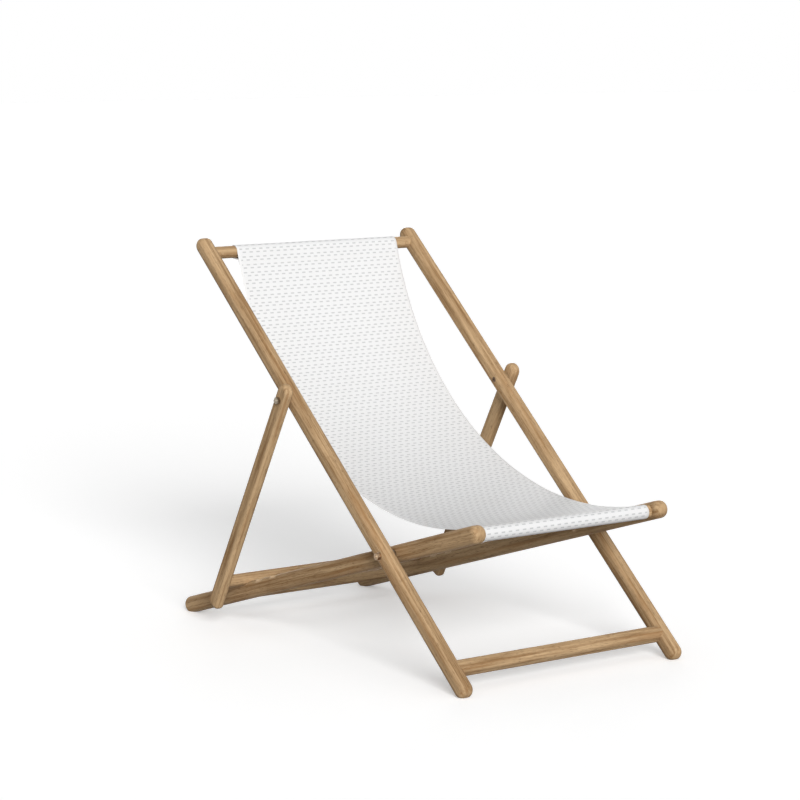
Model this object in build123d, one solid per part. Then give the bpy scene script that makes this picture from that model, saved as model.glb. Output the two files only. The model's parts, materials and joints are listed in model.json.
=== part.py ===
"""Folding deck chair: a pair of crossed wooden frames, a notched prop and a hung cloth sling.

Millimetres. +Z is up, the sitter faces -Y and the sitter's left is +X. The origin lies on the
floor, under the middle of the chair as it stands open in its rearmost notch.
"""

import os
from math import acos, asin, atan2, cos, degrees, hypot, pi, sin

from build123d import *

# Long rails: from the front feet up to the head end
long_rail_length = 1220
frame_pivot_from_foot = 350
prop_pivot_from_foot = 766
top_bar_from_top = 38
stretcher_from_foot = 65
rail_spacing = 544

# Seat rails: from the rear feet up to the front of the seat
seat_rail_length = 1063
frame_pivot_from_rear = 796
front_bar_from_front = 32
rear_stretcher_from_rear = 133
notch_from_rear = 248
notch_pitch = 55
notch_count = 3
notch_depth = 5.5
notch_lip_round = 1.5

# Prop: two struts and the crossbar that lies in the notches
strut_reach = 469
strut_top_end = 36
strut_foot_end = 64
strut_depth = 34
strut_thickness = 21
strut_edge_round = 8
strut_foot_corner = 10

# Bar stock of both frames
long_rail_depth = 33
seat_rail_depth = 36
rail_thickness = 32
rail_edge_round = 12
stretcher_depth = 32
stretcher_thickness = 30
top_bar_diameter = 26
front_bar_diameter = 26
crossbar_diameter = 26
rear_stretcher_diameter = 22

# Flats on the ends that stand on the floor
front_foot_flat = 2
rear_foot_flat = 3.5

# Tenons: a round step at each bar end, glued into a blind hole
tenon_shoulder = 4
tenon_wall = 5
tenon_pocket = 1

# Side by side: seat rail, long rail, strut
frame_gap = 5
prop_gap = 1.3

# Pivot hardware
bolt_diameter = 8
bolt_head_diameter = 12
bolt_head_height = 4
bolt_head_sunk = 0.5
socket_width = 5
socket_depth = 2
washer_diameter = 18
washer_thickness = 1.5
nut_width = 13
nut_height = 6.5
nut_crown_height = 3.5
nut_crown = 6
bolt_end_gap = 1
spot_face_depth = 1.5

# Dowels that pin the top bar
pin_diameter = 8
pin_from_rail = 9.5
pin_stand_out = 1

# Sling: one cloth with a sewn sleeve at each end
sling_thickness = 1.2
sling_sag = 185
sling_side_gap = 6
sleeve_seam_from_bar = 20

# Clearances
glue_gap = 0.05
running_clearance = 0.05
washer_play = 0.2
notch_clearance = 0.3
sleeve_clearance = 0.3
spot_face_clearance = 0.3

# Most of a wall's half that a rounding takes, so that a flat strip stays between two roundings
rounding_share = 0.98


def rounding(radius, *walls):
    """A rounding radius, limited by the walls that it eases."""
    return min(radius, rounding_share * min(walls) / 2)


# Places across the chair, at the sitter's left (the right side mirrors them)
long_rail_x = rail_spacing / 2
long_rail_inner = long_rail_x - rail_thickness / 2
long_rail_outer = long_rail_x + rail_thickness / 2
seat_rail_x = long_rail_inner - frame_gap - rail_thickness / 2
seat_rail_inner = seat_rail_x - rail_thickness / 2
seat_rail_outer = seat_rail_x + rail_thickness / 2
strut_inner = long_rail_outer + prop_gap
strut_x = strut_inner + strut_thickness / 2
strut_outer = strut_inner + strut_thickness
sling_width = 2 * (seat_rail_inner - sling_side_gap)

# Depth of the bore that a bolt head is sunk in
bolt_head_bore = bolt_head_height + bolt_head_sunk

# Roundings of the bars
long_rail_round = rounding(rail_edge_round, long_rail_depth, rail_thickness)
seat_rail_round = rounding(rail_edge_round, seat_rail_depth, rail_thickness)
strut_round = rounding(strut_edge_round, strut_depth, strut_thickness)
stretcher_round = rounding(rail_edge_round, stretcher_depth, stretcher_thickness)

# Opening angle between the frames: the triangle of frame pivot, prop pivot and seated crossbar
crossbar_above_rail = seat_rail_depth / 2 + crossbar_diameter / 2 - notch_depth
crossbar_along_rail = frame_pivot_from_rear - notch_from_rear
pivot_to_crossbar = hypot(crossbar_along_rail, crossbar_above_rail)
pivot_to_pivot = prop_pivot_from_foot - frame_pivot_from_foot
triangle_angle = acos(
    (pivot_to_pivot**2 + pivot_to_crossbar**2 - strut_reach**2)
    / (2 * pivot_to_pivot * pivot_to_crossbar)
)
opening_angle = triangle_angle + atan2(crossbar_above_rail, crossbar_along_rail)

# Lean of the long rails: the flats of both pairs of full-round ends lie on one floor
long_end_radius = long_rail_depth / 2
seat_end_radius = seat_rail_depth / 2
foot_reach = frame_pivot_from_foot - long_end_radius
rear_reach = frame_pivot_from_rear - seat_end_radius
front_reach = seat_rail_length - frame_pivot_from_rear - seat_end_radius
level_rise = (seat_end_radius - rear_foot_flat) - (long_end_radius - front_foot_flat)
level_sine = foot_reach + rear_reach * cos(opening_angle)
level_cosine = rear_reach * sin(opening_angle)
back_angle = atan2(level_cosine, level_sine) + asin(level_rise / hypot(level_sine, level_cosine))
seat_angle = opening_angle - back_angle

# Frame pivot: its height above the floor, and its place between the chair's front and rear ends
foot_to_front = foot_reach * cos(back_angle) + long_end_radius
seat_to_front = front_reach * cos(seat_angle) + seat_end_radius
pivot_to_front = max(foot_to_front, seat_to_front)
pivot_to_rear = rear_reach * cos(seat_angle) + seat_end_radius
pivot_height = foot_reach * sin(back_angle) + long_end_radius - front_foot_flat
frame_pivot = Vector(0, (pivot_to_front - pivot_to_rear) / 2, pivot_height)

# Directions in the side view: up the long rails, forward up the seat rails and its upward normal
long_direction = Vector(0, cos(back_angle), sin(back_angle))
seat_direction = Vector(0, -cos(seat_angle), sin(seat_angle))
seat_normal = Vector(0, sin(seat_angle), cos(seat_angle))

# Points of the side view
long_foot = frame_pivot - long_direction * frame_pivot_from_foot
seat_rear = frame_pivot - seat_direction * frame_pivot_from_rear
prop_pivot = long_foot + long_direction * prop_pivot_from_foot
top_bar_axis = long_foot + long_direction * (long_rail_length - top_bar_from_top)
front_bar_axis = seat_rear + seat_direction * (seat_rail_length - front_bar_from_front)
crossbar_axis = seat_rear + seat_direction * notch_from_rear + seat_normal * crossbar_above_rail
strut_direction = (crossbar_axis - prop_pivot).normalized()
strut_top = prop_pivot - strut_direction * strut_top_end

# Placing planes: a bar is made along its own Z, a rail from its lower end and a strut from its top,
# and then laid in the side view
long_plane = Plane(origin=long_foot, x_dir=(1, 0, 0), z_dir=long_direction)
seat_plane = Plane(origin=seat_rear, x_dir=(1, 0, 0), z_dir=seat_direction)
strut_plane = Plane(origin=strut_top, x_dir=(1, 0, 0), z_dir=strut_direction)

# Block under the floor, larger than the chair, that cuts the feet flat
floor_block_size = 4 * long_rail_length
floor_block = Pos(0, 0, -floor_block_size / 2) * Box(*3 * (floor_block_size,))


def crosswise(radius, start, end, along, height=0):
    """Cylinder across the chair, in a bar's own frame, from start to end."""
    middle = (start + end) / 2
    return Pos(middle, height, along) * Rot(0, 90, 0) * Cylinder(radius, abs(end - start))


def tenon_hole(bar_diameter, side, offset, thickness, along):
    """Blind hole in a bar's inner face for the tenon of a bar that joins it."""
    inner = side * offset - side * thickness / 2
    bottom = side * offset + side * (thickness / 2 - tenon_wall)
    return crosswise(bar_diameter / 2 - tenon_shoulder + glue_gap, inner - side * thickness, bottom, along)


def spot_face(diameter, depth, face, inward, along):
    """Round flat sunk into a rounded bar, so that a washer or a bolt head seats on it."""
    radius = diameter / 2 + spot_face_clearance
    return crosswise(radius, face + inward * depth, face - inward * depth, along)


def eased(outline, thickness, radius):
    """Flat outline in the side view made a bar of a thickness, with its long edges rounded all round."""
    bar = extrude(Plane.YZ * outline, thickness / 2, both=True)
    return fillet(bar.faces().filter_by(Axis.X).edges(), radius)


def rail_stock(length, depth, edge_round, offset):
    """Rail with full-round ends, standing along Z at its place across the chair."""
    outline = Pos(0, length / 2) * Rot(0, 0, 90) * SlotOverall(length, depth)
    return Pos(offset, 0, 0) * eased(outline, rail_thickness, edge_round)


def bolt_hole(radius, offset, along):
    """Hole right through a bar for a pivot bolt."""
    return crosswise(radius, offset - rail_thickness, offset + rail_thickness, along)


def long_rail(side):
    """Long rail with its two pivot holes and the blind holes of the top bar and the stretcher."""
    offset = side * long_rail_x
    inner = side * long_rail_inner
    outer = side * long_rail_outer
    rail = rail_stock(long_rail_length, long_rail_depth, long_rail_round, offset)
    for along in (frame_pivot_from_foot, prop_pivot_from_foot):
        rail -= bolt_hole(bolt_diameter / 2 + glue_gap, offset, along)
        rail -= spot_face(washer_diameter, spot_face_depth, outer, -side, along)
    rail -= spot_face(washer_diameter, spot_face_depth, inner, side, frame_pivot_from_foot)
    rail -= spot_face(bolt_head_diameter, bolt_head_bore, inner, side, prop_pivot_from_foot)
    top_bar_along = long_rail_length - top_bar_from_top
    rail -= tenon_hole(top_bar_diameter, side, long_rail_x, rail_thickness, top_bar_along)
    rail -= tenon_hole(stretcher_thickness, side, long_rail_x, rail_thickness, stretcher_from_foot)
    return long_plane.location * rail - floor_block


def notch_walls(rail, radius):
    """The notches' hollow walls: those cylinders of the given radius that lie across the chair."""

    def is_notch(face):
        lies_across = abs(face.axis_of_rotation.direction.X) > abs(face.axis_of_rotation.direction.Z)
        return lies_across and abs(face.radius - radius) < glue_gap

    return rail.faces().filter_by(GeomType.CYLINDER).filter_by(is_notch)


def seat_rail(side):
    """Seat rail with its pivot hole, two blind holes and the row of notches on its upper side."""
    offset = side * seat_rail_x
    rail = rail_stock(seat_rail_length, seat_rail_depth, seat_rail_round, offset)
    notch_radius = crossbar_diameter / 2 + notch_clearance
    for place in range(notch_count):
        along = notch_from_rear + place * notch_pitch
        start = offset - rail_thickness
        end = offset + rail_thickness
        rail -= crosswise(notch_radius, start, end, along, crossbar_above_rail)
    rail = fillet(notch_walls(rail, notch_radius).edges(), notch_lip_round)
    rail -= bolt_hole(bolt_diameter / 2 + running_clearance, offset, frame_pivot_from_rear)
    outer = side * seat_rail_outer
    inner = side * seat_rail_inner
    rail -= spot_face(washer_diameter, spot_face_depth, outer, -side, frame_pivot_from_rear)
    rail -= spot_face(bolt_head_diameter, bolt_head_bore, inner, side, frame_pivot_from_rear)
    front_bar_along = seat_rail_length - front_bar_from_front
    rail -= tenon_hole(front_bar_diameter, side, seat_rail_x, rail_thickness, front_bar_along)
    rail -= tenon_hole(rear_stretcher_diameter, side, seat_rail_x, rail_thickness, rear_stretcher_from_rear)
    return seat_plane.location * rail - floor_block


def strut(side):
    """Flat prop strut: full round at its pivot, eased square at its foot, blind hole for the crossbar."""
    length = strut_top_end + strut_reach + strut_foot_end
    offset = side * strut_x
    half = strut_depth / 2
    head = ThreePointArc((half, half), (0, 0), (-half, half))
    sides = Polyline((-half, half), (-half, length), (half, length), (half, half))
    outline = make_face(head + sides)
    foot_corner = max(rounding(strut_foot_corner, strut_depth), strut_round)
    outline = fillet(outline.vertices().group_by(Axis.Y)[-1], foot_corner)
    bar = Pos(offset, 0, 0) * eased(outline, strut_thickness, strut_round)
    bar -= bolt_hole(bolt_diameter / 2 + running_clearance, offset, strut_top_end)
    crossbar_along = strut_top_end + strut_reach
    bar -= tenon_hole(crossbar_diameter, side, strut_x, strut_thickness, crossbar_along)
    return strut_plane.location * bar


def tenoned(section, tenon_diameter, carrier_x, carrier_thickness, carrier_depth, carrier_round):
    """Cross bar between two carriers: its ends are coped to their rounded sides and stepped to tenons.

    The bar and its carriers are made in the carriers' own frame, with the bar's axis on X.
    """
    bar = extrude(Plane.YZ * section, carrier_x, both=True)
    width = carrier_thickness + 2 * glue_gap
    carrier_section = RectangleRounded(width, carrier_depth + 2 * glue_gap, carrier_round + glue_gap)
    carrier = extrude(carrier_section, carrier_x, both=True)
    for side in (1, -1):
        bar -= Pos(side * carrier_x, 0, 0) * carrier
    tenon_reach = carrier_x + carrier_thickness / 2 - tenon_wall - tenon_pocket
    return bar + Rot(0, 90, 0) * Cylinder(tenon_diameter / 2, 2 * tenon_reach)


def long_bar(section, tenon_diameter, along):
    """Cross bar that joins the long rails."""
    bar = tenoned(section, tenon_diameter, long_rail_x, rail_thickness, long_rail_depth, long_rail_round)
    return long_plane.location * Pos(0, 0, along) * bar


def top_bar():
    """Round head bar, drilled crosswise for its two dowels."""
    section = Circle(top_bar_diameter / 2)
    tenon_diameter = top_bar_diameter - 2 * tenon_shoulder
    bar = long_bar(section, tenon_diameter, long_rail_length - top_bar_from_top)
    for side in (1, -1):
        bar -= top_bar_pin(side, pin_diameter / 2 + glue_gap)
    return bar


def top_bar_pin(side, radius):
    """Dowel of the top bar: it runs level from front to rear and stands a little out of the bar."""
    length = top_bar_diameter + 2 * pin_stand_out
    place = top_bar_axis + Vector(side * (long_rail_inner - pin_from_rail), 0, 0)
    return Pos(*place) * Rot(90, 0, 0) * Cylinder(radius, length)


def front_stretcher():
    """Stretcher of rail-like section between the long rails."""
    section = RectangleRounded(stretcher_depth, stretcher_thickness, stretcher_round)
    return long_bar(section, stretcher_thickness - 2 * tenon_shoulder, stretcher_from_foot)


def seat_bar(diameter, along):
    """Round bar between the seat rails."""
    section = Circle(diameter / 2)
    tenon_diameter = diameter - 2 * tenon_shoulder
    bar = tenoned(section, tenon_diameter, seat_rail_x, rail_thickness, seat_rail_depth, seat_rail_round)
    return seat_plane.location * Pos(0, 0, along) * bar


def prop_crossbar():
    """Round bar between the struts, which lies in the notches."""
    section = Circle(crossbar_diameter / 2)
    tenon_diameter = crossbar_diameter - 2 * tenon_shoulder
    bar = tenoned(section, tenon_diameter, strut_x, strut_thickness, strut_depth, strut_round)
    return strut_plane.location * Pos(0, 0, strut_top_end + strut_reach) * bar


def socket_bolt(length):
    """Bolt along X: flat head with a hexagon socket inwards from X = 0, shank outwards."""
    head = crosswise(bolt_head_diameter / 2, -bolt_head_height, 0, 0)
    shank = crosswise(bolt_diameter / 2, 0, length, 0)
    hexagon = RegularPolygon(socket_width / 2, 6, major_radius=False)
    socket = Pos(-bolt_head_height, 0, 0) * extrude(Plane.YZ * hexagon, socket_depth)
    return head + shank - socket


def ring(outer_diameter, thickness):
    """Flat washer or spacer on the bolt, from X = 0 outwards."""
    flat = Circle(outer_diameter / 2) - Circle(bolt_diameter / 2 + glue_gap)
    return extrude(Plane.YZ * flat, thickness)


def cap_nut():
    """Hexagon nut with a closed crown, from X = 0 outwards, on the end of the bolt."""
    hexagon = RegularPolygon(nut_width / 2, 6, major_radius=False)
    body = extrude(Plane.YZ * hexagon, nut_height)
    crown = Cone(nut_width / 2, nut_crown / 2, nut_crown_height)
    body += Pos(nut_height + nut_crown_height / 2, 0, 0) * Rot(0, 90, 0) * crown
    return body - crosswise(bolt_diameter / 2 + glue_gap, 0, nut_height, 0)


def at_pivot(piece, pivot, side, across):
    """Puts a piece made along X at its pivot, outwards to the given side."""
    turned = piece if side > 0 else Rot(0, 0, 180) * piece
    return Pos(side * across, pivot.Y, pivot.Z) * turned


def sling():
    """Cloth hung in one arc between the two bars, with a sewn sleeve round each.

    The arc's centre is as far from one bar as from the other. The outline runs round the head
    sleeve to its seam, along the under side to the other seam, round the front sleeve, and back
    along the upper side.
    """
    head = Vector(top_bar_axis.Y, top_bar_axis.Z)
    front = Vector(front_bar_axis.Y, front_bar_axis.Z)
    head_hole = top_bar_diameter / 2 + sleeve_clearance
    front_hole = front_bar_diameter / 2 + sleeve_clearance
    chord = head - front
    half_chord = chord.length / 2
    sleeve_middle = (head_hole + front_hole + sling_thickness) / 2
    radius = (half_chord**2 + sling_sag**2 - sleeve_middle**2) / (2 * (sling_sag + sleeve_middle))
    upper = radius - sling_thickness / 2
    under = radius + sling_thickness / 2
    head_distance = upper + sling_thickness + head_hole
    front_distance = upper + sling_thickness + front_hole

    # Centre of the arc, from its distances to the two bars
    along = (chord.length**2 + front_distance**2 - head_distance**2) / (2 * chord.length)
    above = (front_distance**2 - along**2) ** 0.5
    chord_unit = chord.normalized()
    chord_normal = Vector(-chord_unit.Y, chord_unit.X)
    centre = front + chord_unit * along + chord_normal * above

    def bearing(origin, point):
        return atan2(point.Y - origin.Y, point.X - origin.X)

    def polar(origin, distance, angle):
        return origin + Vector(cos(angle), sin(angle)) * distance

    def sleeve(bar, hole, turn):
        """Seam point, tangent point on the sleeve and the arc of the sleeve's outer side."""
        outer = hole + sling_thickness
        bar_bearing = bearing(centre, bar)
        seam = polar(centre, under, bar_bearing + turn * sleeve_seam_from_bar / radius)
        to_seam = seam - bar
        opening = acos(outer / to_seam.length)
        seam_bearing = bearing(bar, seam)
        tangent = polar(bar, outer, seam_bearing - turn * opening)
        meeting = polar(bar, outer, bearing(bar, centre))
        far_side = polar(bar, outer, seam_bearing + pi)
        return seam, tangent, meeting, far_side

    head_seam, head_tangent, head_meeting, head_far = sleeve(head, head_hole, -1)
    front_seam, front_tangent, front_meeting, front_far = sleeve(front, front_hole, 1)
    middle_angle = (bearing(centre, head) + bearing(centre, front)) / 2
    outline = [
        ThreePointArc(head_meeting, head_far, head_tangent),
        Line(head_tangent, head_seam),
        ThreePointArc(head_seam, polar(centre, under, middle_angle), front_seam),
        Line(front_seam, front_tangent),
        ThreePointArc(front_tangent, front_far, front_meeting),
        ThreePointArc(front_meeting, polar(centre, upper, middle_angle), head_meeting),
    ]
    profile = make_face(outline)
    profile -= Pos(head.X, head.Y) * Circle(head_hole)
    profile -= Pos(front.X, front.Y) * Circle(front_hole)
    return extrude(Plane.YZ * profile, sling_width / 2, both=True)


# Bolt stacks, outwards along X: where heads, spacers, washers and nuts start
frame_head_seat = seat_rail_inner + bolt_head_bore - washer_play
frame_spacer_seat = seat_rail_outer - spot_face_depth + washer_play
frame_spacer_thickness = frame_gap + 2 * spot_face_depth - washer_play
frame_washer_seat = long_rail_outer - spot_face_depth
frame_nut_seat = frame_washer_seat + washer_thickness
prop_head_seat = long_rail_inner + bolt_head_bore
prop_washer_seat = long_rail_outer - spot_face_depth
prop_washer_thickness = prop_gap + spot_face_depth - washer_play
prop_nut_seat = strut_outer + washer_play
nut_grip = nut_height - bolt_end_gap

nodes = {
    "top_bar": top_bar(),
    "top_bar_pins": Compound([top_bar_pin(side, pin_diameter / 2) for side in (1, -1)]),
    "front_stretcher": front_stretcher(),
    "front_bar": seat_bar(front_bar_diameter, seat_rail_length - front_bar_from_front),
    "rear_stretcher": seat_bar(rear_stretcher_diameter, rear_stretcher_from_rear),
    "prop_crossbar": prop_crossbar(),
    "sling": sling(),
}
for side_name, side in (("left", 1), ("right", -1)):
    frame_bolt = socket_bolt(frame_nut_seat + nut_grip - frame_head_seat)
    prop_bolt = socket_bolt(prop_nut_seat + nut_grip - prop_head_seat)
    frame_spacer = ring(washer_diameter, frame_spacer_thickness)
    frame_washer = ring(washer_diameter, washer_thickness)
    prop_washer = ring(washer_diameter, prop_washer_thickness)
    nodes[f"long_rail_{side_name}"] = long_rail(side)
    nodes[f"seat_rail_{side_name}"] = seat_rail(side)
    nodes[f"prop_strut_{side_name}"] = strut(side)
    nodes[f"frame_bolt_{side_name}"] = at_pivot(frame_bolt, frame_pivot, side, frame_head_seat)
    nodes[f"frame_spacer_{side_name}"] = at_pivot(frame_spacer, frame_pivot, side, frame_spacer_seat)
    nodes[f"frame_washer_{side_name}"] = at_pivot(frame_washer, frame_pivot, side, frame_washer_seat)
    nodes[f"frame_nut_{side_name}"] = at_pivot(cap_nut(), frame_pivot, side, frame_nut_seat)
    nodes[f"prop_bolt_{side_name}"] = at_pivot(prop_bolt, prop_pivot, side, prop_head_seat)
    nodes[f"prop_washer_{side_name}"] = at_pivot(prop_washer, prop_pivot, side, prop_washer_seat)
    nodes[f"prop_nut_{side_name}"] = at_pivot(cap_nut(), prop_pivot, side, prop_nut_seat)

os.makedirs("parts", exist_ok=True)
for name, solid in nodes.items():
    export_step(solid, f"parts/{name}.step")

print("opening", round(degrees(opening_angle), 3), "back", round(degrees(back_angle), 3))
print("frame pivot", frame_pivot, "prop pivot", prop_pivot)
print("top bar", top_bar_axis, "front bar", front_bar_axis, "crossbar", crossbar_axis)
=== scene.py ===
"""Looks of a folding deck chair: oiled teak frames, steel pivots and a hung white mesh sling.

Metres, in the frame of the solids: +Z is up, the sitter faces -Y and the sitter's left is +X.
"""

import json
import math

import bpy
import numpy as np
from mathutils import Matrix, Vector


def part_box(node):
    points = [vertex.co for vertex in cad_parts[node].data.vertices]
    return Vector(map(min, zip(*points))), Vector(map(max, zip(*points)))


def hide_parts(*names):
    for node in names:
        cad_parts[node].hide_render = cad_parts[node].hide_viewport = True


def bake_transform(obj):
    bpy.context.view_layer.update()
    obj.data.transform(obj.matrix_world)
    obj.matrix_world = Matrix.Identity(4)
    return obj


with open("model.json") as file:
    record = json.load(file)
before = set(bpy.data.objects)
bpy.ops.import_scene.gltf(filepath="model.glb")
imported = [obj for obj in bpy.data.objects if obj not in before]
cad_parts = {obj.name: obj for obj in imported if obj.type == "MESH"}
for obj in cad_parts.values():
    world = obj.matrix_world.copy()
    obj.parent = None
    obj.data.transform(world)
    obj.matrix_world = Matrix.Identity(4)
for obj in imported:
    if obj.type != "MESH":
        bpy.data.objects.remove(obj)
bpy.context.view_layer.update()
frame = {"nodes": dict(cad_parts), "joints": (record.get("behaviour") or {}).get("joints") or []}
bpy.context.scene.view_settings.view_transform = "Standard"


# The long rails
# Two bars of oiled teak, planed from straight-grained boards, with long edges and ends rounded over.
# They lean back from the front feet to the head end, and the rest of the chair is bolted to them.

def axis_of(node):
    """Middle of a cross bar's box, which lies on the bar's axis."""
    low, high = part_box(node)
    return (low + high) / 2


def put(tree, kind, inputs=(), **settings):
    """Adds a shader node with its settings; an input is a constant or the socket that feeds it."""
    node = tree.nodes.new("ShaderNode" + kind)
    for name, value in settings.items():
        setattr(node, name, value)
    for key, value in dict(inputs).items():
        if isinstance(value, bpy.types.NodeSocket):
            tree.links.new(value, node.inputs[key])
        else:
            node.inputs[key].default_value = value
    return node


def reckon(tree, operation, *values):
    """Output of a Math node on constants or sockets."""
    return put(tree, "Math", enumerate(values), operation=operation).outputs[0]


def drawn_out(tree, place, share):
    """Place with its Y shortened to a share, so that a pattern on it is drawn out along the bar."""
    return put(tree, "VectorMath", {0: place, 1: (1.0, share, 1.0)}, operation="MULTIPLY").outputs[0]


def ease(tree, value, low, high, to_low=0.0, to_high=1.0):
    """Value carried smoothly from to_low at low to to_high at high, and level outside."""
    limits = {"Value": value, "From Min": low, "From Max": high, "To Min": to_low, "To Max": to_high}
    return put(tree, "MapRange", limits, interpolation_type="SMOOTHSTEP").outputs[0]


def noise(tree, place, scale, detail=2.0, roughness=0.5):
    """Value of a noise texture."""
    values = {"Vector": place, "Scale": scale, "Detail": detail, "Roughness": roughness}
    return put(tree, "TexNoise", values).outputs[0]


def tint(tree, share, first, second):
    """Colour between first and second by share."""
    return put(tree, "Mix", {0: share, 6: first, 7: second}, data_type="RGBA").outputs[2]


def relief(tree, height, strength, distance):
    """Normal bent by a height."""
    return put(tree, "Bump", {"Height": height, "Strength": strength, "Distance": distance}).outputs[0]


def effect(name, inputs, outputs):
    """Empty shader node group with named sockets: its tree, input sockets and output sockets."""
    tree = bpy.data.node_groups.new(name, "ShaderNodeTree")
    for side, sockets in (("INPUT", inputs), ("OUTPUT", outputs)):
        for socket, kind in sockets.items():
            tree.interface.new_socket(socket, in_out=side, socket_type="NodeSocket" + kind)
    return tree, tree.nodes.new("NodeGroupInput").outputs, tree.nodes.new("NodeGroupOutput").inputs


def bare_material(name):
    """New material with an empty node tree: the material and its tree."""
    material = bpy.data.materials.new(name)
    material.use_nodes = True
    material.node_tree.nodes.clear()
    return material, material.node_tree


def surface(tree, inputs):
    """Principled surface with its inputs, joined to the material's output."""
    shader = put(tree, "BsdfPrincipled", inputs)
    put(tree, "OutputMaterial", {"Surface": shader.outputs[0]})


def finish(nodes, material):
    """Gives solids their material."""
    for node in nodes:
        mesh = frame["nodes"][node].data
        mesh.materials.clear()
        mesh.materials.append(material)


def teak_grain():
    """Grain of straight teak along the Y of the place: growth rings about a far heart, broad and narrow
    streaks, fibres and short dark pores, all of them drawn out along the bar; end grain is calmer."""
    russet = (0.40, 0.215, 0.092, 1.0)
    pore_brown = (0.09, 0.045, 0.02, 1.0)
    tree, given, made = effect(
        "teak_grain",
        {"Place": "Vector", "Facing": "Vector", "Along": "Vector", "Heart": "Vector",
         "Pale": "Color", "Deep": "Color"},
        {"Color": "Color", "Roughness": "Float", "Height": "Float"},
    )
    place = given["Place"]
    drawn = drawn_out(tree, place, 0.045)
    from_heart = put(tree, "VectorMath", {0: drawn, 1: given["Heart"]}, operation="ADD").outputs[0]
    rings = put(
        tree, "TexWave",
        {"Vector": from_heart, "Scale": 38.0, "Distortion": 2.4, "Detail": 2.0, "Detail Scale": 1.4},
        wave_type="RINGS", rings_direction="Y", wave_profile="SAW",
    ).outputs[1]
    broad = noise(tree, drawn, 34.0)
    streak = noise(tree, drawn, 150.0, 3.0)
    warm = ease(tree, noise(tree, drawn, 75.0), 0.5, 0.72)
    fibre = noise(tree, drawn_out(tree, place, 0.016), 620.0, 3.0, 0.6)
    pore = ease(tree, noise(tree, drawn_out(tree, place, 0.05), 1500.0, 0.0), 0.64, 0.74)
    depth = reckon(tree, "MULTIPLY", reckon(tree, "POWER", rings, 2.0), 0.24)
    for part, weight in ((broad, 1.0), (streak, 1.5), (fibre, 0.55)):
        depth = reckon(tree, "MULTIPLY_ADD", reckon(tree, "SUBTRACT", part, 0.5), weight, depth)
    depth = ease(tree, depth, -0.32, 0.62)
    colour = tint(tree, depth, given["Pale"], given["Deep"])
    colour = tint(tree, reckon(tree, "MULTIPLY", warm, 0.4), colour, russet)
    colour = tint(tree, reckon(tree, "MULTIPLY", pore, 0.55), colour, pore_brown)
    facing = {0: given["Facing"], 1: given["Along"]}
    endwise = put(tree, "VectorMath", facing, operation="DOT_PRODUCT").outputs[1]
    end = ease(tree, reckon(tree, "ABSOLUTE", endwise), 0.6, 0.98)
    end_tone = tint(tree, 0.3, given["Pale"], given["Deep"])
    colour = tint(tree, reckon(tree, "MULTIPLY", end, 0.6), colour, end_tone)
    rough = reckon(tree, "MULTIPLY_ADD", fibre, 0.16, 0.48)
    rough = reckon(tree, "MULTIPLY_ADD", pore, 0.2, rough)
    height = reckon(tree, "MULTIPLY_ADD", pore, -0.9, reckon(tree, "MULTIPLY", fibre, 0.5))
    height = reckon(tree, "MULTIPLY_ADD", depth, -0.25, height)
    for socket, value in (("Color", colour), ("Roughness", rough), ("Height", height)):
        tree.links.new(value, made[socket])
    return tree


def edge_rub():
    """Rub along the rounded long edges of a bar: the product of how far a point lies into the rounding
    from either face, twice over its square, is 1 on the corner and 0 on the flats; noise breaks it."""
    tree, given, made = effect(
        "edge_rub",
        {"Place": "Vector", "Spacing": "Float", "Half Width": "Float", "Half Depth": "Float",
         "Round": "Float"},
        {"Rub": "Float"},
    )
    place = given["Place"]
    part = put(tree, "SeparateXYZ", {0: place}).outputs
    out = reckon(tree, "SUBTRACT", reckon(tree, "ABSOLUTE", part[0]), given["Spacing"])
    corner = 2.0
    for offset, half in ((out, given["Half Width"]), (part[2], given["Half Depth"])):
        reach = reckon(tree, "ADD", reckon(tree, "ABSOLUTE", offset), given["Round"])
        into = reckon(tree, "MAXIMUM", reckon(tree, "SUBTRACT", reach, half), 0.0)
        corner = reckon(tree, "MULTIPLY", corner, reckon(tree, "DIVIDE", into, given["Round"]))
    patch = noise(tree, drawn_out(tree, place, 0.12), 90.0, 4.0, 0.65)
    patch = ease(tree, patch, 0.36, 0.66)
    worn = reckon(tree, "MULTIPLY", ease(tree, corner, 0.35, 1.0), patch)
    tree.links.new(worn, made["Rub"])
    return tree


grain = teak_grain()
rub = edge_rub()
honey_pale = (0.53, 0.362, 0.203, 1.0)
honey_deep = (0.225, 0.127, 0.055, 1.0)
worn_teak = (0.52, 0.36, 0.205, 1.0)


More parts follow.
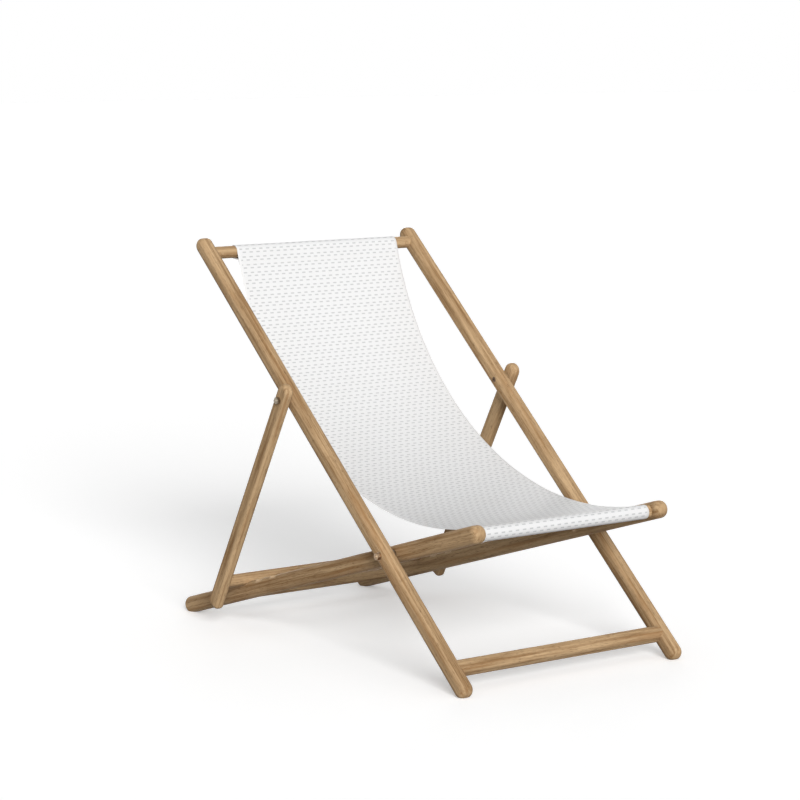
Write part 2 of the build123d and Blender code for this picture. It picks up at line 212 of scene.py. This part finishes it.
def teak(name, nodes, along, normal, start, section, edge_round, heart, spacing=0.0, more=None):
    """Oiled teak of a family of bars: grain, paler where the long edges are rubbed.

    The pattern lies in the bar's own frame, X across, Y along and Z on the normal. Its start is on the
    bar's axis, shifted along the bar until the streaks lie as they show on the real one. Two bars of a
    pair lie the spacing to either side. more, if given, adds to the colour what only these bars have.
    """
    across = along.cross(normal)
    turned = Matrix((across, along, normal)).transposed().to_euler()
    material, tree = bare_material(name)
    coordinates = put(tree, "TexCoord").outputs
    place = put(
        tree, "Mapping", {"Vector": coordinates["Object"], "Location": start, "Rotation": turned},
        vector_type="TEXTURE",
    ).outputs[0]
    wood = put(
        tree, "Group",
        {"Place": place, "Facing": coordinates["Normal"], "Along": along, "Heart": heart,
         "Pale": honey_pale, "Deep": honey_deep},
        node_tree=grain,
    ).outputs
    sizes = {"Spacing": spacing, "Half Width": section[0] / 2, "Half Depth": section[1] / 2}
    worn = put(
        tree, "Group", {"Place": place, "Round": edge_round, **sizes}, node_tree=rub,
    ).outputs["Rub"]
    colour = tint(tree, reckon(tree, "MULTIPLY", worn, 0.4), wood["Color"], worn_teak)
    if more:
        colour = more(tree, place, colour)
    rough = reckon(tree, "MULTIPLY_ADD", worn, -0.08, wood["Roughness"])
    normal_bent = relief(tree, wood["Height"], 0.35, 0.0004)
    surface(
        tree,
        {"Base Color": colour, "Roughness": rough, "Normal": normal_bent, "Specular IOR Level": 0.05},
    )
    finish(nodes, material)


across_chair = Vector((1.0, 0.0, 0.0))
pivots = {joint["name"]: Vector(joint["pos_m"]) for joint in frame["joints"]}
frame_pivot = pivots["frame_fold"]
prop_pivot = pivots["prop_swing"]
head_axis = axis_of("top_bar")
long_along = (head_axis - frame_pivot).normalized()
long_normal = across_chair.cross(long_along)
long_grain_shift = 0.48
rail_edge_round = 0.012
teak(
    "long_rail_teak", ("long_rail_left", "long_rail_right"), long_along, long_normal,
    start=frame_pivot + long_along * long_grain_shift,
    section=(0.032, 0.033), edge_round=rail_edge_round, heart=(0.07, 0.0, -0.11),
    spacing=axis_of("long_rail_left").x,
)


# The top bar and the front stretcher
# A round teak bar tenoned between the long rails at the head end, for the sling to hang from, and a
# squarer one just above the front feet. Both are coped to the rails and glued; two dowels, which run
# from front to rear and show their end grain, pin the top bar.

round_bar = 0.026
dowel = 0.008
stretcher_grain_shift = -0.15
teak(
    "top_bar_teak", ("top_bar",), across_chair, long_normal, start=head_axis,
    section=(round_bar, round_bar), edge_round=round_bar / 2, heart=(-0.05, 0.0, 0.06),
)
teak(
    "dowel_teak", ("top_bar_pins",), Vector((0.0, 1.0, 0.0)), Vector((0.0, 0.0, 1.0)), start=head_axis,
    section=(dowel, dowel), edge_round=dowel / 2, heart=(0.02, 0.0, 0.03),
)
teak(
    "front_stretcher_teak", ("front_stretcher",), across_chair, long_normal,
    start=axis_of("front_stretcher") + across_chair * stretcher_grain_shift,
    section=(0.030, 0.032), edge_round=rail_edge_round, heart=(0.04, 0.0, 0.09),
)


# The seat rails
# Two shorter teak bars inside the long rails, from the rear feet up to the front of the seat. Three
# half-round notches across the top of each hold the prop's crossbar. Their walls and lips are painted
# paler: partly wood rubbed by the crossbar, partly a painted highlight of the front lamp's light on them.

front_axis = axis_of("front_bar")
prop_axis = axis_of("prop_crossbar")
seat_along = (front_axis - frame_pivot).normalized()
seat_normal = seat_along.cross(across_chair)
seat_grain_shift = 0.32
seat_start = frame_pivot + seat_along * seat_grain_shift
seat_rail_section = (0.032, 0.036)
first_notch = (prop_axis - seat_start).dot(seat_along)
notch_count = 3
notch_pitch = 0.055
notch_depth = 0.0055
notch_half_width = 0.0135
notch_tone_below = 0.003
# Paler tone for the notches: partly rubbed wood, partly a painted highlight where the front lamp lights
# their walls and lips.
rubbed_and_lit_teak = (0.64, 0.465, 0.29, 1.0)


def rubbed_and_lit_notches(tree, place, colour):
    """Colour made paler in the notches, partly for wood rubbed by the crossbar and partly as a painted
    highlight of the lamp's light on their walls: within the half width of each along Y, and on Z between
    the notches' floor and the rail's top, both set a little lower so that the lips are paler too."""
    part = put(tree, "SeparateXYZ", {0: place}).outputs
    notch_tone = 0.0
    for count in range(notch_count):
        away = reckon(tree, "SUBTRACT", part[1], first_notch + notch_pitch * count)
        away = reckon(tree, "ABSOLUTE", away)
        within = ease(tree, away, notch_half_width * 0.75, notch_half_width, 1.0, 0.0)
        notch_tone = reckon(tree, "MAXIMUM", notch_tone, within)
    top = seat_rail_section[1] / 2 - notch_tone_below
    notch_tone = reckon(tree, "MULTIPLY", notch_tone, ease(tree, part[2], top - notch_depth, top))
    # Painted highlight, also standing for rubbed wood: the notches' walls and lips are tinted paler.
    return tint(tree, reckon(tree, "MULTIPLY", notch_tone, 0.7), colour, rubbed_and_lit_teak)


teak(
    "seat_rail_teak", ("seat_rail_left", "seat_rail_right"), seat_along, seat_normal, start=seat_start,
    section=seat_rail_section, edge_round=rail_edge_round, heart=(-0.06, 0.0, 0.12),
    spacing=axis_of("seat_rail_left").x, more=rubbed_and_lit_notches,
)


# The front bar and the rear stretcher
# Round teak bars tenoned between the seat rails: the front one carries the sling's front sleeve, the
# thinner rear one keeps the rails apart near the rear feet.

thin_bar = 0.022
teak(
    "front_bar_teak", ("front_bar",), across_chair, seat_normal, start=front_axis,
    section=(round_bar, round_bar), edge_round=round_bar / 2, heart=(0.06, 0.0, -0.04),
)
teak(
    "rear_stretcher_teak", ("rear_stretcher",), across_chair, seat_normal, start=axis_of("rear_stretcher"),
    section=(thin_bar, thin_bar), edge_round=thin_bar / 2, heart=(0.03, 0.0, 0.05),
)


# The prop
# Two flat teak struts outside the long rails, pivoted near their upper ends, and the round crossbar
# between their feet that lies in the seat rails' notches and sets how far the chair leans back.

strut_along = (prop_axis - prop_pivot).normalized()
strut_normal = across_chair.cross(strut_along)
strut_grain_shift = -0.3
teak(
    "prop_strut_teak", ("prop_strut_left", "prop_strut_right"), strut_along, strut_normal,
    start=prop_pivot + strut_along * strut_grain_shift,
    section=(0.021, 0.034), edge_round=0.008, heart=(0.09, 0.0, 0.07),
    spacing=axis_of("prop_strut_left").x,
)
teak(
    "prop_crossbar_teak", ("prop_crossbar",), across_chair, strut_normal, start=prop_axis,
    section=(round_bar, round_bar), edge_round=round_bar / 2, heart=(-0.04, 0.0, 0.08),
)


# The pivot bolts
# Socket bolts with their heads sunk in the inner faces, washers, spacers and cap nuts outside, on the
# two pairs of pivots. The steel is satin, turned about the bolts' axes, and has browned out of doors,
# least on the prop's nuts. The spacers take the bright steel as painted light, so that the shaded gap
# between the long and seat rails beside them reads lighter; the prop's sunk heads are the darkest.

bright_steel = (0.36, 0.315, 0.25, 1.0)
browned_steel = (0.23, 0.19, 0.14, 1.0)
rusty_steel = (0.42, 0.30, 0.195, 1.0)
rust = (0.31, 0.21, 0.13, 1.0)
# Darkest tones, used on the prop's sunk heads.
dark_steel = (0.22, 0.15, 0.10, 1.0)
darkest_brown = (0.15, 0.10, 0.065, 1.0)
pitted = (0.11, 0.08, 0.055, 1.0)


def steel(name, pieces, centre, bright, brown):
    """Satin steel turned about X through the centre: rings of fine tool marks, bright clouded with brown,
    on the left and the right one of each piece."""
    material, tree = bare_material(name)
    place = put(
        tree, "Mapping", {"Vector": put(tree, "TexCoord").outputs["Object"], "Location": centre},
        vector_type="TEXTURE",
    ).outputs[0]
    marks = put(
        tree, "TexWave", {"Vector": place, "Scale": 700.0, "Distortion": 0.6, "Detail": 1.0},
        wave_type="RINGS", rings_direction="X",
    ).outputs[1]
    cloud = noise(tree, place, 260.0, 4.0, 0.6)
    speck = ease(tree, noise(tree, place, 1100.0, 2.0), 0.62, 0.72)
    colour = tint(tree, ease(tree, cloud, 0.35, 0.7), bright, brown)
    colour = tint(tree, reckon(tree, "MULTIPLY", speck, 0.5), colour, pitted)
    rough = reckon(tree, "MULTIPLY_ADD", cloud, 0.24, 0.2)
    normal_bent = relief(tree, marks, 0.12, 0.0002)
    surface(tree, {"Base Color": colour, "Roughness": rough, "Normal": normal_bent, "Metallic": 1.0})
    finish([f"{piece}_{side}" for piece in pieces for side in ("left", "right")], material)


steel("frame_pivot_steel", ("frame_bolt", "frame_washer", "frame_nut"), frame_pivot, rusty_steel, rust)
# Painted light: bright steel on the spacers lightens the shaded gap between the long and seat rails.
steel("spacer_steel", ("frame_spacer",), frame_pivot, bright_steel, browned_steel)
steel("prop_pivot_steel", ("prop_washer", "prop_nut"), prop_pivot, bright_steel, browned_steel)
steel("prop_bolt_steel", ("prop_bolt",), prop_pivot, dark_steel, darkest_brown)


# The sling
# One length of white mesh cloth with a sewn sleeve at each end, hung in a single arc between the top
# bar and the front bar. The raw ends are turned under and held by two rows of stitching.

cloth_thickness = 0.0011
cloth_width = 0.4265
sling_sag = 0.185
sleeve_clearance = 0.00035
seam_from_bar = 0.020
turned_end = 0.014
head_shift = 0.0043
front_shift = -0.0022
fine_step = 0.0005
fold_points = 5


def add_object(name, data):
    """New object at the origin with its data, put into the scene."""
    made = bpy.data.objects.new(name, data)
    bpy.context.scene.collection.objects.link(made)
    return made


def polar(centre, radius, bearing):
    """Points at a radius and bearings from a centre, in the side view (Y, Z)."""
    return np.asarray(centre) + radius * np.stack([np.cos(bearing), np.sin(bearing)], axis=-1)


def bearing_to(origin, point):
    """Bearing of a point from an origin in the side view."""
    return math.atan2(point[1] - origin[1], point[0] - origin[0])


def runs_of(line):
    """Run along a line at each of its points: the steps from point to point, added up."""
    return np.concatenate([[0.0], np.cumsum(np.linalg.norm(np.diff(line, axis=0), axis=1))])


def even(line, step):
    """The same line with points an even step apart along it."""
    run = runs_of(line)
    places = np.linspace(0.0, run[-1], round(run[-1] / step) + 1)
    return np.stack([np.interp(places, run, line[:, axis]) for axis in range(2)], axis=1)


head = np.array((head_axis.y, head_axis.z))
front = np.array((front_axis.y, front_axis.z))
sleeve_radius = round_bar / 2 + sleeve_clearance + cloth_thickness / 2
half_chord = np.linalg.norm(head - front) / 2
arc_radius = (half_chord**2 + sling_sag**2 - sleeve_radius**2) / (2 * (sling_sag + sleeve_radius))
chord_way = (head - front) / (2 * half_chord)
chord_normal = np.array((-chord_way[1], chord_way[0]))
arc_rise = math.sqrt((arc_radius + sleeve_radius) ** 2 - half_chord**2)
arc_centre = (head + front) / 2 + chord_normal * arc_rise


def sleeve_line(bar, way):
    """Middle line of a sleeve, from the turned end to where it joins the sling's arc.

    The end lies under the arc, leaves it at the seam in a straight line, and goes round the bar.
    way is -1 at the head and 1 at the front: the arc's bearings run from the bar towards the seam.
    """
    bar_bearing = bearing_to(arc_centre, bar)
    under = arc_radius + cloth_thickness
    seam_bearing = bar_bearing + way * seam_from_bar / arc_radius
    end_bearing = seam_bearing + way * turned_end / arc_radius
    end = polar(arc_centre, under, np.linspace(end_bearing, seam_bearing, 12))
    from_bar = bearing_to(bar, end[-1])
    opening = math.acos(sleeve_radius / np.linalg.norm(end[-1] - bar))
    first = from_bar - way * opening
    last = bearing_to(bar, arc_centre)
    sweep = (way * (first - last)) % (2 * math.pi)
    loop = polar(bar, sleeve_radius, np.linspace(first, first - way * sweep, 60))
    return np.concatenate([end, loop])


def soften(line, reach):
    """Line smoothed over a few points, so that a fold in the cloth has a small radius; its ends stay."""
    share = np.hanning(2 * reach + 3)[1:-1]
    share = share / share.sum()
    before = 2 * line[0] - line[reach:0:-1]
    after = 2 * line[-1] - line[-2:-reach - 2:-1]
    padded = np.concatenate([before, line, after])
    return np.stack([np.convolve(padded[:, axis], share, "valid") for axis in range(2)], axis=1)


head_line = sleeve_line(head, -1)
front_line = sleeve_line(front, 1)[::-1]
arc_bearings = np.linspace(bearing_to(arc_centre, head), bearing_to(arc_centre, front), 400)
arc_line = polar(arc_centre, arc_radius, arc_bearings)
whole_line = np.concatenate([head_line, arc_line[1:-1], front_line])
sling_line = soften(even(whole_line, fine_step), fold_points)
sling_run = runs_of(sling_line)
sling_length = sling_run[-1]
head_run = even(head_line, fine_step).shape[0] * fine_step
front_run = sling_length - even(front_line, fine_step).shape[0] * fine_step


def sling_place(run):
    """Place and upper normal of the cloth's middle line in the side view at a run along it."""
    place = np.stack([np.interp(run, sling_run, sling_line[:, axis]) for axis in range(2)], axis=-1)
    slope = np.gradient(sling_line, sling_run, axis=0)
    way = np.stack([np.interp(run, sling_run, slope[:, axis]) for axis in range(2)], axis=-1)
    way = way / np.linalg.norm(way, axis=-1, keepdims=True)
    return place, np.stack([way[..., 1], -way[..., 0]], axis=-1)


def sling_shift(run):
    """How far the cloth lies off the chair's middle at a run along it: it hangs a little askew."""
    share = np.clip((run - head_run) / (front_run - head_run), 0.0, 1.0)
    return head_shift + (front_shift - head_shift) * share


def pucker(run, across):
    """Slight waves that the stitching draws into the cloth beside each seam, fading away from it: two
    sines across the cloth, times a bell curve along it about either seam."""
    lift = 0.00016
    reach = 0.016
    short_wave = 0.017
    long_wave = 0.041
    wave = np.sin(across * 2 * math.pi / short_wave) + 0.6 * np.sin(across * 2 * math.pi / long_wave + 1.3)
    near = np.exp(-(((run - head_run - seam_from_bar) / reach) ** 2))
    near = near + np.exp(-(((run - front_run + seam_from_bar) / reach) ** 2))
    return lift * wave * near


def sling_point(run, across, lift):
    """Point of the cloth at a run along it, a place across it and a lift along its upper normal."""
    place, normal = sling_place(run)
    raised = place + normal * np.expand_dims(lift + pucker(run, across), -1)
    return np.stack([across + sling_shift(run), raised[..., 0], raised[..., 1]], axis=-1)


def mesh_object(name, points, *faces):
    """Mesh piece from an array of points and arrays of faces, shaded smooth with sharp folds kept."""
    mesh = bpy.data.meshes.new(name)
    corners = [face for group in faces for face in group.reshape(-1, group.shape[-1]).tolist()]
    mesh.from_pydata(points.reshape(-1, 3).tolist(), [], corners)
    mesh.shade_smooth()
    mesh.set_sharp_from_angle(angle=math.radians(50))
    return add_object(name, mesh)


def sling_cloth():
    """Closed sheet: rows along the run, each a ring over the upper side and back along the under side.

    The rows lie close together round the bars and further apart along the arc.
    """
    close_rows = 0.0018
    wide_rows = 0.0075
    past_bar = 0.05
    edge_inset = 0.0006
    runs = np.concatenate([
        np.arange(0.0, head_run + past_bar, close_rows),
        np.arange(head_run + past_bar, front_run - past_bar, wide_rows),
        np.arange(front_run - past_bar, sling_length, close_rows),
        [sling_length],
    ])
    half = cloth_width / 2
    columns = np.linspace(-half + edge_inset, half - edge_inset, 64)
    across = np.concatenate([columns, [half], columns[::-1], [-half]])
    level = np.full(columns.shape, cloth_thickness / 2)
    lift = np.concatenate([level, [0.0], -level, [0.0]])
    run_grid, across_grid = np.meshgrid(runs, across, indexing="ij")
    lift_grid = np.broadcast_to(lift, run_grid.shape)
    points = sling_point(run_grid, across_grid, lift_grid)
    index = np.arange(run_grid.size).reshape(run_grid.shape)
    ahead = np.roll(index, -1, axis=1)
    walls = np.stack([index[:-1], index[1:], ahead[1:], ahead[:-1]], axis=-1)
    count = len(columns)
    column = np.arange(count - 1)
    strip = np.stack([column, column + 1, 2 * count - column - 1, 2 * count - column], axis=-1)
    tips = np.array([(count - 1, count, count + 1), (2 * count, 2 * count + 1, 0)])
    ends = [index[row][cap[:, ::way]] for row, way in ((0, 1), (-1, -1)) for cap in (strip, tips)]
    piece = mesh_object("sling_cloth", points, walls, *ends)
    flat = np.stack([across_grid, run_grid], axis=-1).reshape(-1, 2)
    corners = np.empty(len(piece.data.loops), np.int32)
    piece.data.loops.foreach_get("vertex_index", corners)
    layer = piece.data.uv_layers.new(name="flat_cloth")
    layer.data.foreach_set("uv", flat[corners].astype(np.float32).ravel())
    return piece


def sling_stitches():
    """Stitches of both seams: six-sided beads in rows across the cloth, thick amid and thin at the ends.

    A bead is a ring of points carried along X, with a radius of the root of 1 less the place squared.
    """
    pitch = 0.0040
    half_length = 0.0016
    radius = 0.00035
    side_margin = 0.006
    rows = []
    for inset in (0.004, 0.010):
        rows += [turned_end - inset, head_run + seam_from_bar + inset]
        rows += [front_run - seam_from_bar - inset, sling_length - turned_end + inset]
    reach = cloth_width / 2 - side_margin
    run, across = np.meshgrid(np.array(rows), np.arange(-reach, reach, pitch), indexing="ij")
    run = run.ravel()
    across = across.ravel()
    centre = sling_point(run, across, np.full(run.shape, cloth_thickness / 2 + 0.2 * radius))
    normal = sling_place(run)[1]
    level = np.zeros(run.shape)
    outward = np.stack([level, normal[:, 0], normal[:, 1]], axis=-1)
    onward = np.stack([level, -normal[:, 1], normal[:, 0]], axis=-1)
    stations = np.linspace(-0.97, 0.97, 5)
    angles = np.arange(6) * math.pi / 3
    spread = radius * np.sqrt(1.0 - stations**2)[:, None, None]
    turning = np.stack([np.cos(angles), np.sin(angles)], axis=-1)
    ring = spread * turning[None]
    points = centre[:, None, None] + ring[None, ..., :1] * outward[:, None, None]
    points = points + ring[None, ..., 1:] * onward[:, None, None]
    points[..., 0] += half_length * stations[None, :, None]
    index = np.arange(stations.size * angles.size).reshape(stations.size, angles.size)
    ahead = np.roll(index, -1, axis=1)
    walls = np.stack([index[:-1], ahead[:-1], ahead[1:], index[1:]], axis=-1).reshape(-1, 4)
    first_end = np.array([(3, 2, 1, 0), (5, 4, 3, 0)])
    last_end = index[-1][first_end[:, ::-1]]
    bead = np.concatenate([walls, first_end, last_end])
    faces = bead[None] + index.size * np.arange(len(run))[:, None, None]
    return mesh_object("sling_stitches", points, faces)


def mesh_weave():
    """Mesh cloth on flat coordinates in metres, X across and Y along: fine crossing yarns, and pairs of
    rows of short dashes of another yarn, the second row of a pair half a dash pitch aside of the first
    and each pair stepped sideways from the last; the borders have none."""
    tree, given, made = effect(
        "mesh_weave",
        {"Flat": "Vector", "Pair Pitch": "Float", "Pair Step": "Float", "Dash Pitch": "Float",
         "Dash Half": "Float", "Border": "Float", "Yarn": "Float"},
        {"Dash": "Float", "Height": "Float"},
    )
    dash_core = 0.0008
    dash_rim = 0.0019
    across, along, _ = put(tree, "SeparateXYZ", {0: given["Flat"]}).outputs
    pair_place = reckon(tree, "DIVIDE", along, given["Pair Pitch"])
    back = reckon(tree, "MULTIPLY", reckon(tree, "FLOOR", pair_place), given["Pair Step"])
    dash_place = reckon(tree, "DIVIDE", reckon(tree, "SUBTRACT", across, back), given["Dash Pitch"])
    dash = 0.0
    for row, aside in ((0.3, 0.0), (0.7, 0.5)):
        beyond = reckon(tree, "FRACT", reckon(tree, "ADD", dash_place, aside))
        beyond = reckon(tree, "ABSOLUTE", reckon(tree, "SUBTRACT", beyond, 0.5))
        beyond = reckon(tree, "MULTIPLY", beyond, given["Dash Pitch"])
        beyond = reckon(tree, "MAXIMUM", reckon(tree, "SUBTRACT", beyond, given["Dash Half"]), 0.0)
        below = reckon(tree, "SUBTRACT", reckon(tree, "FRACT", pair_place), row)
        below = reckon(tree, "MULTIPLY", below, given["Pair Pitch"])
        off = put(tree, "CombineXYZ", {0: beyond, 1: below}).outputs[0]
        off = put(tree, "VectorMath", {0: off}, operation="LENGTH").outputs[1]
        dash = reckon(tree, "MAXIMUM", dash, ease(tree, off, dash_core, dash_rim, 1.0, 0.0))
    inside = reckon(tree, "LESS_THAN", reckon(tree, "ABSOLUTE", across), given["Border"])
    warp = reckon(tree, "DIVIDE", across, given["Yarn"])
    weft = reckon(tree, "DIVIDE", along, given["Yarn"])
    count = reckon(tree, "ADD", reckon(tree, "FLOOR", warp), reckon(tree, "FLOOR", weft))
    over = reckon(tree, "FLOORED_MODULO", count, 2.0)
    humps = []
    for yarn in (warp, weft):
        wave = reckon(tree, "SINE", reckon(tree, "MULTIPLY", yarn, math.pi))
        humps.append(reckon(tree, "ABSOLUTE", wave))
    height = reckon(tree, "MULTIPLY_ADD", over, reckon(tree, "SUBTRACT", humps[1], humps[0]), humps[0])
    tree.links.new(reckon(tree, "MULTIPLY", dash, inside), made["Dash"])
    tree.links.new(height, made["Height"])
    return tree


def cloth_white():
    """White coated yarn with grey dashes: painted shade a little darker between the yarns, faintly soiled
    in patches.
    """
    white_yarn = (0.77, 0.77, 0.77, 1.0)
    yarn_gap_shade = (0.50, 0.50, 0.50, 1.0)
    soiled_yarn = (0.62, 0.60, 0.56, 1.0)
    dash_grey = (0.51, 0.51, 0.515, 1.0)
    sizes = {"Pair Pitch": 0.0172, "Pair Step": 0.0068, "Dash Pitch": 0.0177, "Dash Half": 0.0032,
             "Border": cloth_width / 2 - 0.006, "Yarn": 0.0012}
    material, tree = bare_material("sling_white")
    flat = put(tree, "UVMap", uv_map="flat_cloth").outputs[0]
    weave = put(tree, "Group", {"Flat": flat, **sizes}, node_tree=mesh_weave()).outputs
    gap = reckon(tree, "SUBTRACT", 1.0, weave["Height"])
    soil = ease(tree, noise(tree, flat, 9.0, 4.0, 0.6), 0.45, 0.8)
    # Painted shade: the low places between the yarns are tinted darker.
    colour = tint(tree, reckon(tree, "MULTIPLY", gap, 0.3), white_yarn, yarn_gap_shade)
    colour = tint(tree, reckon(tree, "MULTIPLY", soil, 0.10), colour, soiled_yarn)
    colour = tint(tree, weave["Dash"], colour, dash_grey)
    rough = reckon(tree, "MULTIPLY_ADD", gap, 0.2, 0.62)
    normal_bent = relief(tree, weave["Height"], 0.4, 0.0003)
    surface(
        tree,
        {"Base Color": colour, "Roughness": rough, "Normal": normal_bent, "Specular IOR Level": 0.25},
    )
    return material


def thread_white():
    """Spun sewing thread: fine slanting twist on off-white, with painted shade in the hollows of the
    twist.
    """
    hollow_shade = (0.66, 0.65, 0.62, 1.0)
    strand = (0.80, 0.79, 0.77, 1.0)
    material, tree = bare_material("thread_white")
    place = put(tree, "TexCoord").outputs["Object"]
    twist = put(tree, "TexWave", {"Vector": place, "Scale": 520.0}, bands_direction="DIAGONAL").outputs[1]
    # Painted shade: the twist's hollows are tinted darker.
    colour = tint(tree, twist, hollow_shade, strand)
    normal_bent = relief(tree, twist, 0.3, 0.0001)
    surface(tree, {"Base Color": colour, "Roughness": 0.7, "Normal": normal_bent})
    return material


sling = sling_cloth()
sling.data.materials.append(cloth_white())
stitches = sling_stitches()
stitches.data.materials.append(thread_white())
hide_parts("sling")
for piece in (sling, stitches):
    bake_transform(piece)


# The floor, the light and the camera
# A plain pale floor that shows white away from the chair's shadow, a broad soft lamp from the front,
# a weaker one from behind, level white light all round, and the camera of the photograph.

white = (1.0, 1.0, 1.0, 1.0)


def seen(tree):
    """1 for a ray that looks straight, by reflection or through glass, and 0 for one that lights."""
    path = put(tree, "LightPath").outputs
    total = 0.0
    for ray in ("Is Camera Ray", "Is Glossy Ray", "Is Transmission Ray"):
        total = reckon(tree, "MAXIMUM", total, path[ray])
    return total


floor_half = 40.0
floor_corners = [(-floor_half, -floor_half, 0.0), (floor_half, -floor_half, 0.0),
                 (floor_half, floor_half, 0.0), (-floor_half, floor_half, 0.0)]
floor_fill = 0.275
floor_lighting = (0.35, 0.35, 0.35, 1.0)
floor_seen = (0.95, 0.95, 0.95, 1.0)
floor_mesh = bpy.data.meshes.new("floor")
floor_mesh.from_pydata(floor_corners, [], [(0, 1, 2, 3)])
add_object("floor", floor_mesh)
floor_white, floor_tree = bare_material("floor_white")
looked_at = seen(floor_tree)
surface(
    floor_tree,
    {"Base Color": tint(floor_tree, looked_at, floor_lighting, floor_seen),
     "Roughness": 0.9, "Specular IOR Level": 0.0, "Emission Color": white,
     "Emission Strength": reckon(floor_tree, "MULTIPLY", looked_at, floor_fill)},
)
floor_mesh.materials.append(floor_white)

low_sky = 0.31
high_sky = 0.42
world = bpy.data.worlds.new("studio")
bpy.context.scene.world = world
world.use_nodes = True
sky_tree = world.node_tree
sky_tree.nodes.clear()
rise = put(sky_tree, "SeparateXYZ", {0: put(sky_tree, "TexCoord").outputs["Generated"]}).outputs[2]
glow = put(sky_tree, "MapRange", {"Value": rise, "To Min": low_sky, "To Max": high_sky}).outputs[0]
strength = reckon(sky_tree, "MAXIMUM", seen(sky_tree), glow)
sky = put(sky_tree, "Background", {"Color": white, "Strength": strength})
put(sky_tree, "OutputWorld", {"Surface": sky.outputs[0]})


def lamp(name, energy, width, seen_from):
    """Distant soft lamp: its strength, its width in degrees and the way to it from the chair."""
    light = bpy.data.lights.new(name, "SUN")
    light.energy = energy
    light.angle = math.radians(width)
    add_object(name, light).rotation_euler = Vector(seen_from).to_track_quat("Z", "Y").to_euler()


lamp("front_lamp", energy=3.2, width=26, seen_from=(-0.40, -0.845, 0.357))
lamp("rear_lamp", energy=1.2, width=30, seen_from=(0.61, 0.79, 0.07))

camera_tilt = math.radians(82.527)
camera_turn = math.radians(-37.458)
camera = bpy.data.cameras.new("camera")
camera.sensor_width = 36.0
camera.lens = 126.03
camera_object = add_object("camera", camera)
camera_object.location = (-3.5514, -4.5781, 1.2595)
camera_object.rotation_euler = (camera_tilt, 0.0, camera_turn)
bpy.context.scene.camera = camera_object
